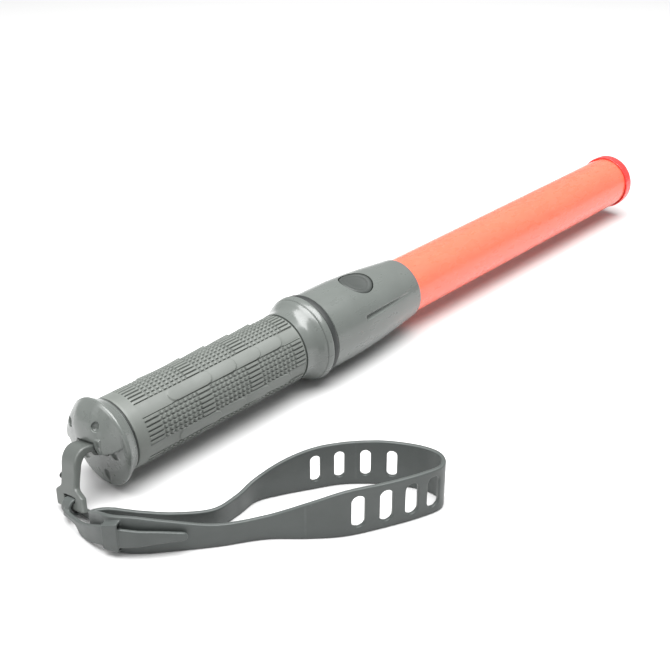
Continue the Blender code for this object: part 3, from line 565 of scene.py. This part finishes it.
def flute_depth(x, offset):
    """How deep the flute is, offset degrees below its upper edge."""
    passed = np.clip((x - FLUTE_FROM) / (FLUTE_TO - FLUTE_FROM), 0, 1)
    along = ease((x - FLUTE_FROM) / 3.0) * (1 - passed ** 1.5)
    bank = 5.2 - 2.4 * passed
    across = ease(offset / bank) * (1 - ease((offset - bank) / bank))
    return FLUTE_DEPTH * along * across


def ring_at(x, radii, angles):
    """Points round the axis at x, at angles in degrees from the top towards -Y."""
    a = np.radians(angles)
    return list(zip(np.full(len(a), x), -radii * np.sin(a), radii * np.cos(a)))


def button_centre_x():
    low, high = extent("button_cap")
    return (low.x + high.x) / 2


def head_shell():
    """Tapered switch housing: a flute each side, the button's hole, and posts for the board."""
    low, high = extent("head_shell")
    roll = np.degrees(HEAD_ROLL)
    flute_starts = (roll + FLUTE_ANGLE - 4, roll - FLUTE_ANGLE + 4)
    angles = set(np.round(np.arange(0, 360, 2.5), 2))
    for side, start in zip((1, -1), flute_starts):
        angles |= set(np.round((start + side * np.arange(-1.0, 12.5, 0.45)) % 360, 2))
    angles = np.array(sorted(angles))
    edge = [p.x for p in smooth_curve([(x, 0, 0) for x, _ in HEAD_PROFILE[:3]], 4)]
    nose = [high.x - low.x - d for d in (1.8, 1.2, 0.7, 0.35, 0.12, 0)]
    rows = edge + list(np.arange(2.6, 26, 1.6)) + list(np.arange(26, 79, 0.7))
    rows += list(np.arange(79, 87, 1.2)) + nose
    rings = []
    for x in np.array(rows) + low.x:
        r = np.full(len(angles), float(head_radius(x)))
        for side, start in zip((1, -1), flute_starts):
            r -= flute_depth(x, side * ((angles - start + 180) % 360 - 180))
        rings.append(ring_at(x, r, angles))
    for x, r in ((high.x, HEAD_BORE[0][1]), *HEAD_BORE, (low.x, HEAD_BORE[-1][1])):
        rings.append(ring_at(x, r, angles))
    head = as_object(swept(rings, cyclic=True), "head")
    turn = Matrix.Rotation(HEAD_ROLL, 4, "X")
    screws = [sum(corner.x for corner in extent(f"board_screw_{end}")) / 2
              for end in ("rear", "front")]
    posts = together([rod((x, 0, POST_FOOT), (x, 0, top), POST_R)
                      for x, top in zip(screws, POST_TOPS)])
    posts.transform(turn)
    combine(head, posts, "UNION")
    hole_r = BUTTON_R + BUTTON_GAP
    hole = lathe([(14, 0), (14, hole_r), (34, hole_r), (34, 0)], 128)
    hole.transform(Matrix.Translation((button_centre_x(), 0, 0)) @ Matrix.Rotation(-pi / 2, 4, "Y"))
    cutters = together([hole] + [rod((x, 0, POST_FOOT - 1), (x, 0, POST_FOOT + SCREW_HOLE_DEPTH),
                                     SCREW_HOLE_R, 24) for x in screws])
    cutters.transform(turn)
    combine(head, cutters)
    return piece(head, "handle", ["head_shell"], FINISHES["housing_grey"], 30)


# --- button -------------------------------------------------------------------------------
BUTTON_BOTTOM = 20.9
BUTTON_DROP = (  # distance from the button's centre, depth below the head's round
    (0, 1.3), (2, 1.25), (4, 1.1), (6, 0.8), (7.2, 0.5), (7.8, 0.65), (8.2, 0.65), (8.7, 0.35),
    (9.6, 0.15), (10.4, 0.18), (10.9, 0.35), (11.25, 0.7), (11.4, 1.2),
)


def button():
    """Rubber button that follows the head's round, with a rim, a groove and a finger dish."""
    middle = button_centre_x()
    bm = bmesh.new()
    segments = 96
    rings = []
    for radius, depth in reversed(BUTTON_DROP):
        ring = []
        for k in range(segments):
            a = 2 * pi * k / segments
            x, y = middle + radius * cos(a), radius * sin(a)
            top = sqrt(float(head_radius(x)) ** 2 - y ** 2) - depth
            ring.append(bm.verts.new((x, y, top)))
            if not radius:
                break
        rings.append(ring)
    base = [bm.verts.new((middle + BUTTON_R * cos(2 * pi * k / segments),
                          BUTTON_R * sin(2 * pi * k / segments), BUTTON_BOTTOM))
            for k in range(segments)]
    rings.insert(0, base)
    bm.faces.new(base)
    for ring, following in zip(rings, rings[1:]):
        for k in range(segments):
            j = (k + 1) % segments
            if len(following) == 1:
                bm.faces.new((ring[k], ring[j], following[0]))
            else:
                bm.faces.new((ring[k], ring[j], following[j], following[k]))
    bm.transform(Matrix.Rotation(HEAD_ROLL, 4, "X"))
    cap = as_object(bm, "push_button")
    return piece(cap, "button", ["button_cap"], FINISHES["button_rubber"], 60)


# --- tube and tip -------------------------------------------------------------------------
TUBE_R, TUBE_BORE_R, FLANGE_R = 20.0, 18.4, 21.3


def tube():
    """Light tube, with the flange that the head holds."""
    low, high = extent("light_tube")
    outline = [(low.x, TUBE_BORE_R, 0.3), (low.x, FLANGE_R, 0.3), (low.x + 2.5, FLANGE_R, 0.3),
               (low.x + 2.5, TUBE_R, 0.3)]
    outline += [(x, TUBE_R) for x in np.linspace(low.x + 6, high.x - 2, 60)]
    outline += [(high.x, TUBE_R, 0.4), (high.x, TUBE_BORE_R, 0.4)]
    outline += [(x, TUBE_BORE_R) for x in np.linspace(high.x - 2, low.x + 6, 40)]
    made = as_object(lathe(fillet(outline, 3), 160), "light_tube_skin")
    return piece(made, "handle", ["light_tube"], FINISHES["tube_orange"])


def tip():
    """Cup over the tube's end, with a raised rim round its face."""
    low, high = extent("tip_cap")
    outline = [(high.x - 3.65, 0), (high.x - 3.65, 20.35, 0.5), (low.x, 20.35, 0.3), (low.x, 21.35, 0.3),
               (low.x + 0.7, 21.5, 0.5), (high.x - 3.4, 21.5, 1.0), (high.x - 1.1, 20.6, 1.4),
               (high.x, 18.6, 1.0), (high.x - 0.15, 16.6, 0.5), (high.x - 0.75, 15.8, 0.6),
               (high.x - 0.6, 4.0, 1.0), (high.x - 0.5, 0)]
    cap = as_object(lathe(fillet(outline, 4), 160), "tip")
    return piece(cap, "handle", ["tip_cap"], FINISHES["tip_red"])


# --- tail cap -----------------------------------------------------------------------------
DIMPLES = (  # degrees from the top towards -Y, distance from the axis, and x of the surface there
    (-137, 19.4, -0.75), (-106, 23.9, -5.4), (-62, 19.6, -5.3), (20, 17.4, -5.2), (99, 15.6, -1.6),
    (164, 20.3, -0.7),
)
HOOD_STATIONS = (  # y, reach from the disc, height of the lower edge
    (-23.0, 0.6, 2.0), (-20.0, 1.9, -0.2), (-16.5, 4.2, -1.4), (-13.0, 6.6, -1.8), (-10.0, 7.8, -1.6),
    (-7.9, 8.2, 1.6), (-4.0, 8.4, 4.8), (3.0, 8.5, 4.9), (7.8, 8.2, 4.2), (11.5, 7.6, 1.0),
    (16.0, 6.8, -1.6), (20.5, 5.8, -3.0), (23.8, 5.0, -2.6),
)
HOOD_RISE = (0, 0.04, 0.12, 0.24, 0.38, 0.53, 0.66, 0.78, 0.88, 0.95, 1.0)  # shares of the way up
HOOD_TOP_R = 25.9


def hood():
    """Brow over the link's pin: it rises from the disc's upper rim to a sharp edge that looks down."""
    sections = []
    for y, reach, edge in smooth_curve([Vector(s) for s in HOOD_STATIONS], 5):
        top = sqrt(HOOD_TOP_R ** 2 - y ** 2)
        fullness = 2.0 + 2.5 * float(ease((y + 5) / 25))
        profile = [(0.15 - reach * (1 - up ** fullness), edge + (top - edge) * up) for up in HOOD_RISE]
        sections.append([(x, y, z) for x, z in [(1.5, edge)] + profile + [(1.5, top)]])
    return swept(sections)


def cheek(inner, outer, reach):
    """Lug that holds one end of the link's pin, rounded at its foot."""
    outline = fillet([(1.5, 7.0), (-reach, 7.0), (-reach, -0.8, 2.4), (-2.6, -4.6, 2.0), (1.5, -5.2)], 5)
    return swept([[(x, y, z) for x, z in outline] for y in (inner, outer)])


def teardrop(angle, reach, x):
    """Cutter for one dimple: an egg with its narrow end towards the rim."""
    bm = bmesh.new()
    bmesh.ops.create_uvsphere(bm, u_segments=32, v_segments=20, radius=1.0)
    for v in bm.verts:
        widen = 1.0 - 0.35 * v.co.z
        v.co = Vector((v.co.x * 2.1, v.co.y * 2.5 * widen, v.co.z * 4.0))
    a = radians(angle)
    bm.transform(Matrix.Translation((x, -reach * sin(a), reach * cos(a)))
                 @ Matrix.Rotation(a, 4, "X"))
    return bm


def tail_cap():
    """Screw cap: a disc with dimples, the hood and cheeks for the link's pin, and the spigot."""
    disc = [(-0.9, 0), (-0.85, 6), (-0.65, 12), (-0.3, 18), (0.1, 23.5), (0.4, 25.9, 0.4),
            (0.9, 26.75, 0.4), (2.4, 26.8, 0.3), (2.75, 26.1, 0.2), (3.1, 25.9, 0.2)]
    skirt = [(7.3, 23.8, 0.3), (7.8, 23.1, 0.3), (9.1, 23.1, 0.25), (9.1, 18.0, 0.3)]
    spigot = [(18.5, 18.0, 0.4), (18.5, 15.2, 0.3), (6.4, 15.2, 0.3), (6.4, 0)]
    cap = as_object(lathe(fillet(disc + skirt + spigot, 4), 160), "tail_cap_moulding")
    turn = Matrix.Rotation(CAP_ROLL, 4, "X")
    for lug in (hood(), cheek(7.0, 11.8, 7.2), cheek(-12.2, -7.2, 7.4)):
        lug.transform(turn)
        combine(cap, lug, "UNION")
    recess = block((-10, -7.6, -6.5), (2.2, 7.8, 5.2))  # between the cheeks, round the link's eye
    pin_hole = rod((-5.2, -11.6, 0.5), (-5.2, 11.6, 0.5), 1.85, 32)
    for cutter in (recess, pin_hole):
        cutter.transform(turn)
        combine(cap, cutter)
    combine(cap, together([teardrop(*place) for place in DIMPLES]))
    melt(cap, 0.32, 2)
    return piece(cap, "tail_cap", ["tail_cap"], FINISHES["housing_grey"], 60)


def seal():
    """Ring between the tail cap and the barrel."""
    low, high = extent("cap_seal")
    outline = [(low.x, 18.5, 0.2), (low.x, 22.3, 0.3), (high.x, 22.3, 0.3), (high.x, 18.5, 0.2)]
    ring = as_object(lathe(fillet(outline), 160), "seal_ring")
    return piece(ring, "seal", ["cap_seal"], FINISHES["rubber_dark"])


def pin():
    half = PIN_AXIS * 11.4
    bar = as_object(rod(LINK_PIN - half, LINK_PIN + half, 1.5, 48, 0.5), "pin")
    return piece(bar, "tail_cap", ["strap_pin"], FINISHES["steel"])


# --- link ---------------------------------------------------------------------------------
LINK_ROUTE = ((-10.5, 0.2, 2.6), (-15.3, 0.1, 2.2), (-19.2, -0.9, -1.2), (-22.0, -3.0, -7.0),
              (-24.8, -5.3, -13.0), (-26.9, -7.9, -17.4))
LINK_BREADTH, BUCKLE_BREADTH, LINK_T = 14.0, 25.2, 4.0
LINK_EYE_R, LINK_BORE_R = 4.2, 1.9
LINK_STUD = Vector((-23.3, -4.1, -9.8))
STUD_R, STUD_HEAD_R, STUD_BORE_R = 1.1, 1.9, 1.4


def link():
    """Rubber link: an eye round the pin, an arched band, and a faceted buckle with an open window."""
    last = Vector(LINK_ROUTE[-1])
    route = [LINK_PIN] + [Vector(p) for p in LINK_ROUTE]
    route += [STRAP_BAR, STRAP_BAR + (STRAP_BAR - last) * 0.28]
    centres = smooth_curve(route, 12)
    count = len(centres)
    breadths, depths = [], []
    for i in range(count):
        t = i / (count - 1)
        flare = float(ease((t - 0.63) / 0.11))
        arch = float(ease((t - 0.1) / 0.15) * (1 - ease((t - 0.3) / 0.25)))
        end = float(ease((t - 0.94) / 0.06))
        breadths.append(LINK_BREADTH + (BUCKLE_BREADTH - LINK_BREADTH) * flare - 3.0 * end)
        depths.append(LINK_T + 1.2 * arch - 0.6 * end)
    made = as_object(strip(centres, breadths, PIN_AXIS, depths, 1.1), "link_band")
    half = PIN_AXIS * LINK_BREADTH / 2
    combine(made, rod(LINK_PIN - half, LINK_PIN + half, LINK_EYE_R, 48, 0.8), "UNION")
    along = (STRAP_BAR - last).normalized()
    through = along.cross(PIN_AXIS).normalized()
    window = block((-5.9, -4.5, -6), (-1.8, 4.5, 6), 0.6)
    window.transform(Matrix.Translation(STRAP_BAR)
                     @ Matrix((along, PIN_AXIS, through)).transposed().to_4x4())
    pin_bore = rod(LINK_PIN - 2 * half, LINK_PIN + 2 * half, LINK_BORE_R, 32)
    stud_bore = rod(LINK_STUD - PIN_AXIS * 6.1, LINK_STUD + 2 * half, STUD_BORE_R, 24)
    combine(made, together([pin_bore, stud_bore, window]))
    combine(made, strap_eye(EYE_GAP))
    melt(made, 0.34, 4)
    return piece(made, "link", ["strap_link"], FINISHES["link_rubber"], 60)


def stud():
    """Cross pin whose round head stands out on the link's edge."""
    inner, outer = LINK_STUD - PIN_AXIS * 5.7, LINK_STUD + PIN_AXIS * 7.4
    bar = rod(inner, outer, STUD_R, 32)
    head = rod(LINK_STUD + PIN_AXIS * 7.2, LINK_STUD + PIN_AXIS * 8.6, STUD_HEAD_R, 32, 0.5)
    made = as_object(bar, "stud")
    combine(made, head, "UNION")
    return piece(made, "link", ["link_stud"], FINISHES["rubber_dark"])


# --- wrist strap --------------------------------------------------------------------------
STRAP_LOOP = (  # plan of the loop and the band's height there
    (-30.5, -31, 15), (-32.5, -41, 20.5), (-31.5, -51, 23), (-24.5, -61.5, 23.3), (-12, -72.5, 19.6),
    (8, -88, 14.2), (29, -102, 15), (45, -118.5, 23), (60, -131.5, 29), (82, -143, 29),
    (101, -151, 29), (113.5, -153.5, 29), (120.5, -146, 29), (118.5, -133, 29), (108, -115, 29),
    (93, -99, 28), (77, -89, 27), (62, -80.5, 22), (48, -74.5, 15), (33, -76, 13),
    (16, -75.5, 13), (0, -63, 13), (-12, -48, 13), (-22, -35, 14),
)
LOOP_STEPS = 12
SLOT_SPANS = (8.28, 8.91, 9.59, 10.38, 13.73, 14.41, 15.1, 15.85)  # places along STRAP_LOOP
SLOT_SIZES = ((7.7, 20.4), (5.9, 17.3))  # length and height, front and rear band
STRAP_T = 2.6
TONGUE = (  # x, y, height, mid-height above the floor
    (-34.4, -11.5, 4.0, 6.5), (-35.2, -18, 3.8, 6.5), (-35.6, -23.5, 4.5, 6.8), (-36.0, -28.5, 9, 4.9),
    (-36.6, -38, 11.4, 7.3), (-35.7, -47.5, 12.6, 10.6), (-32.3, -56.0, 9, 11.9),
    (-32.2, -58.0, 11.8, 12.1), (-26.1, -65.3, 10, 12.1), (-17.9, -72.2, 7.5, 12.0),
    (-8.6, -79.8, 5, 11.4),
)
ROOT_ARM = ((-25.7, -9.5, 4.6, 3.0), (-25.0, -18, 5.3, 3.3), (-25.9, -26.5, 8, 4.6),
            (-28.7, -32.5, 12, 6.6))
KEEPER_AT, KEEPER_ALONG = Vector((-31.0, -51.7, 0)), Vector((0.38, -0.92, 0)).normalized()
KEEPER_ENDS = ((-4.6, 3.6, 19.3), (4.6, 3.2, 22.0))  # place along it, lowest and highest point
KEEPER_OUTSIDE, KEEPER_INSIDE = (0.4, 5.6), (1.6, 4.3)  # out from the band: outer faces, opening
KEEPER_WALL = 1.3  # above and below the opening
EYE_R, EYE_BORE_R, EYE_HALF, EYE_GAP = 4.9, 3.1, 4, 0.4
UP = Vector((0, 0, 1))


def slot_cutter(span_at, size, centres):
    """Upright slot with round ends, square to the band."""
    i, t = int(span_at * LOOP_STEPS), span_at * LOOP_STEPS % 1
    centre = centres[i].lerp(centres[i + 1], t)
    along = (centres[i + 1] - centres[i]).normalized()
    along.z = 0
    across = along.cross(UP).normalized()
    length, height = size
    outline = []
    for k in range(32):
        angle = 2 * pi * (k + 0.5) / 32
        reach = (height - length) / 2 * (1 if sin(angle) > 0 else -1)
        outline.append(centre + along * length / 2 * cos(angle)
                       + UP * (reach + length / 2 * sin(angle)))
    return swept([[p + across * side for p in outline] for side in (-4, 4)])


def upright(stations, depth, round_end=False):
    """A band on edge through (x, y, height, mid-height above the floor) stations."""
    plan = smooth_curve([Vector((x, y, mid)) for x, y, _, mid in stations], 8)
    heights = [p.z for p in smooth_curve([Vector((0, 0, h)) for _, _, h, _ in stations], 8)]
    centres = [p - UP * AXIS_HEIGHT for p in plan]
    depths = [depth] * len(centres)
    if round_end:
        end, nose = centres[-1], (centres[-1] - centres[-2]).normalized() * heights[-1] / 2
        for t in (0.3, 0.55, 0.75, 0.9, 0.98):
            centres.append(end + nose * t)
            heights.append(heights[len(plan) - 1] * sqrt(1 - t * t))
            depths.append(depth * (1 - 0.25 * t))
    return strip(centres, heights, UP, depths)


def keeper():
    """Flat box that holds the tongue against the front band."""
    outward = KEEPER_ALONG.cross(UP)
    frame_at = Matrix.Translation(KEEPER_AT - UP * AXIS_HEIGHT) @ Matrix(
        (KEEPER_ALONG, outward, UP)).transposed().to_4x4()
    rings = []
    for wall, (inner, outer), ends in ((0.0, KEEPER_OUTSIDE, KEEPER_ENDS),
                                       (KEEPER_WALL, KEEPER_INSIDE, KEEPER_ENDS[::-1])):
        for along, low, high in ends:
            outline = fillet([(inner, low + wall, 0.5), (outer, low + wall, 0.9),
                              (outer, high - wall, 0.9), (inner, high - wall, 0.5)], 4)
            rings.append([frame_at @ Vector((along, y, z)) for y, z in outline])
    return swept(rings, cyclic=True)


def strap_eye(gap=0.0):
    """Short tube round the buckle's bar, grown by a gap on every side."""
    half, outer, bore = EYE_HALF + gap, EYE_R + gap, EYE_BORE_R - gap
    bm = lathe(fillet([(-half, bore, 0.3), (-half, outer, 0.7), (half, outer, 0.7),
                       (half, bore, 0.3)]), 64)
    turn = PIN_AXIS.to_track_quat("X", "Z").to_matrix().to_4x4()
    bm.transform(Matrix.Translation(STRAP_BAR) @ turn)
    return bm


def wrist_strap():
    """One moulding on edge: the slotted loop, the eye, the keeper and the barbed tongue."""
    flat = smooth_curve([Vector(p) for p in STRAP_LOOP], LOOP_STEPS, cyclic=True)
    heights = [p.z for p in flat]
    centres = [Vector((p.x, p.y, p.z / 2 - AXIS_HEIGHT)) for p in flat]
    band = strip(centres, heights, UP, [STRAP_T] * len(flat), 0.6, cyclic=True)
    strap = as_object(band, "wrist_strap_moulding")
    combine(strap, together([slot_cutter(at, SLOT_SIZES[i // 4], centres)
                             for i, at in enumerate(SLOT_SPANS)]))
    more = as_object(together([keeper(), strap_eye(), upright(ROOT_ARM, 2.4),
                               upright(TONGUE, 2.2, round_end=True)]), "helper")
    bm = bmesh.new()
    bm.from_mesh(strap.data)
    bm.from_mesh(more.data)
    bm.to_mesh(strap.data)
    bm.free()
    bpy.data.meshes.remove(more.data)
    melt(strap, 0.45, 4)
    return piece(strap, "wrist_strap", ["wrist_strap"], FINISHES["strap_rubber"], 60)


# --- pieces inside ------------------------------------------------------------------------
def dress_inner_nodes():
    """The CAD pieces inside keep their meshes and take the finish of their slot."""
    finish_of = {
        "tube_ring": "housing_grey", "reflector": "chrome", "led_board": "board_green",
        "led_1": "led_lens", "led_2": "led_lens", "led_3": "led_lens", "circuit_board": "board_green",
        "board_screw_rear": "steel", "board_screw_front": "steel", "switch_body": "switch_black",
        "switch_stem": "switch_black", "battery_rear": "cell_jacket", "battery_front": "cell_jacket",
        "front_contact": "brass", "conductor_strip": "brass", "tail_contact": "brass",
        "tail_spring": "steel", "lead_positive": "wire_red", "lead_led_1": "wire_red",
        "lead_negative": "wire_black", "lead_led_2": "wire_black",
    }
    for node, finish in finish_of.items():
        obj = frame["nodes"][node]
        for place in obj.material_slots:
            place.material = FINISHES[finish]


# --- floor, light and camera --------------------------------------------------------------
def floor():
    """Plain pale floor, well past the picture's edges."""
    bm = bmesh.new()
    bmesh.ops.create_grid(bm, x_segments=8, y_segments=8, size=6)
    mesh = bpy.data.meshes.new("floor")
    bm.to_mesh(mesh)
    bm.free()
    made = bpy.data.objects.new("floor", mesh)
    bpy.context.scene.collection.objects.link(made)
    made.location.z = -0.0002
    finish = bpy.data.materials.new("floor")
    finish.use_nodes = True
    tree = finish.node_tree
    shader = tree.nodes["Principled BSDF"]
    where = add(tree, "ShaderNodeTexCoord").outputs["Object"]
    base = blend_colours(tree, noise(tree, where, 6, 2), (0.62, 0.62, 0.62, 1),
                         (0.64, 0.64, 0.64, 1))
    tree.links.new(base, shader.inputs["Base Color"])
    shader.inputs["Roughness"].default_value = 0.8
    shader.inputs["Specular IOR Level"].default_value = 0.2
    mesh.materials.append(finish)


def softbox(name, at, towards, size, power):
    """White rectangular lamp that faces a point."""
    lamp = bpy.data.lights.new(name, "AREA")
    lamp.shape, lamp.size, lamp.size_y = "RECTANGLE", *size
    lamp.energy = power
    made = bpy.data.objects.new(name, lamp)
    bpy.context.scene.collection.objects.link(made)
    made.location = at
    made.rotation_euler = (Vector(towards) - Vector(at)).to_track_quat("-Z", "Y").to_euler()


def studio():
    """White room light with a large panel overhead and a smaller one on the camera's left."""
    world = bpy.data.worlds.new("studio")
    world.use_nodes = True
    background = world.node_tree.nodes["Background"]
    background.inputs["Color"].default_value = (1, 1, 1, 1)
    background.inputs["Strength"].default_value = 0.42
    bpy.context.scene.world = world
    middle = BATON + Vector((0.25, -0.05, 0))
    softbox("overhead", middle + Vector((-0.1, -0.1, 1.5)), middle, (1.8, 1.2), 66)
    softbox("left", middle + Vector((-1.3, 0.5, 0.9)), middle, (0.8, 0.8), 8)
    bpy.context.scene.view_settings.view_transform = "Standard"


CAMERA_TURN, CAMERA_TILT = radians(47.2), radians(29.2)  # against the baton's axis, and downwards
CAMERA_FROM_BATON = Vector((-303.2, -460.0, 367.7)) * MM
CAMERA_LENS, CAMERA_SENSOR = 62.33, 36.0


def camera():
    right = Vector((cos(CAMERA_TURN), -sin(CAMERA_TURN), 0))
    ahead = Vector((sin(CAMERA_TURN) * cos(CAMERA_TILT), cos(CAMERA_TURN) * cos(CAMERA_TILT),
                    -sin(CAMERA_TILT)))
    lens = bpy.data.cameras.new("camera")
    lens.lens, lens.sensor_width, lens.clip_start = CAMERA_LENS, CAMERA_SENSOR, 0.01
    made = bpy.data.objects.new("camera", lens)
    bpy.context.scene.collection.objects.link(made)
    turn = Matrix((right, right.cross(ahead), -ahead)).transposed().to_4x4()
    made.matrix_world = Matrix.Translation(BATON + CAMERA_FROM_BATON) @ turn
    bpy.context.scene.camera = made


camera()
studio()
floor()
grip_sleeve()
barrel_and_collar()
neck_ring()
head_shell()
button()
tube()
tip()
tail_cap()
seal()
pin()
link()
stud()
wrist_strap()
dress_inner_nodes()
